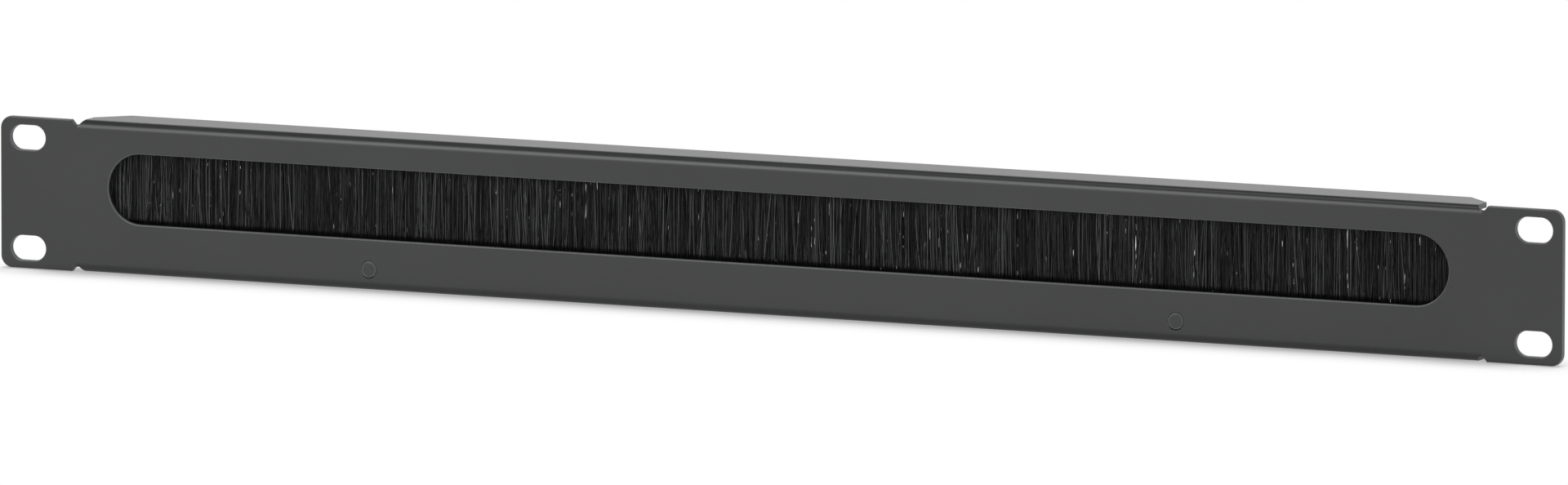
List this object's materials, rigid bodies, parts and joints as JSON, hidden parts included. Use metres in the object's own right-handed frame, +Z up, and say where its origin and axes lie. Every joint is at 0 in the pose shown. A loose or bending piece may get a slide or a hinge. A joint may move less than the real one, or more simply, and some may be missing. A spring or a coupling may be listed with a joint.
{
  "type": "rack brush strip panel",
  "caption": "One-unit 19-inch rack panel of folded sheet steel, with a long round-ended aperture closed by a strip brush that lets cables through and holds back dust and air.",
  "frame": {"origin": "centre of the four rack slots, on the rear face of the ears, which is the face that meets the rack's rails", "axes": "+X along the panel to its right end seen from the front, +Y from front to rear into the rack, +Z up"},
  "size_m": [0.4826, 0.0155, 0.0436],
  "materials": {
    "panel": "fine-textured satin black powder coat",
    "stud": "steel, coated with the panel",
    "brush_holder": "black anodised, satin",
    "brush_channel": "zinc-plated, dull",
    "core_wire": "galvanised wire",
    "bristles": "black nylon filament, slightly glossy",
    "lock_washer": "zinc-plated",
    "nut": "zinc-plated"
  },
  "bodies": {
    "root": {"panel": "panel", "brush_holder": "brush_holder", "brush_channel": "brush_channel", "core_wire": "core_wire", "bristles": "bristles", "stud_left": "stud", "stud_right": "stud", "lock_washer_left": "lock_washer", "lock_washer_right": "lock_washer", "nut_left": "nut", "nut_right": "nut"}
  },
  "joints": []
}
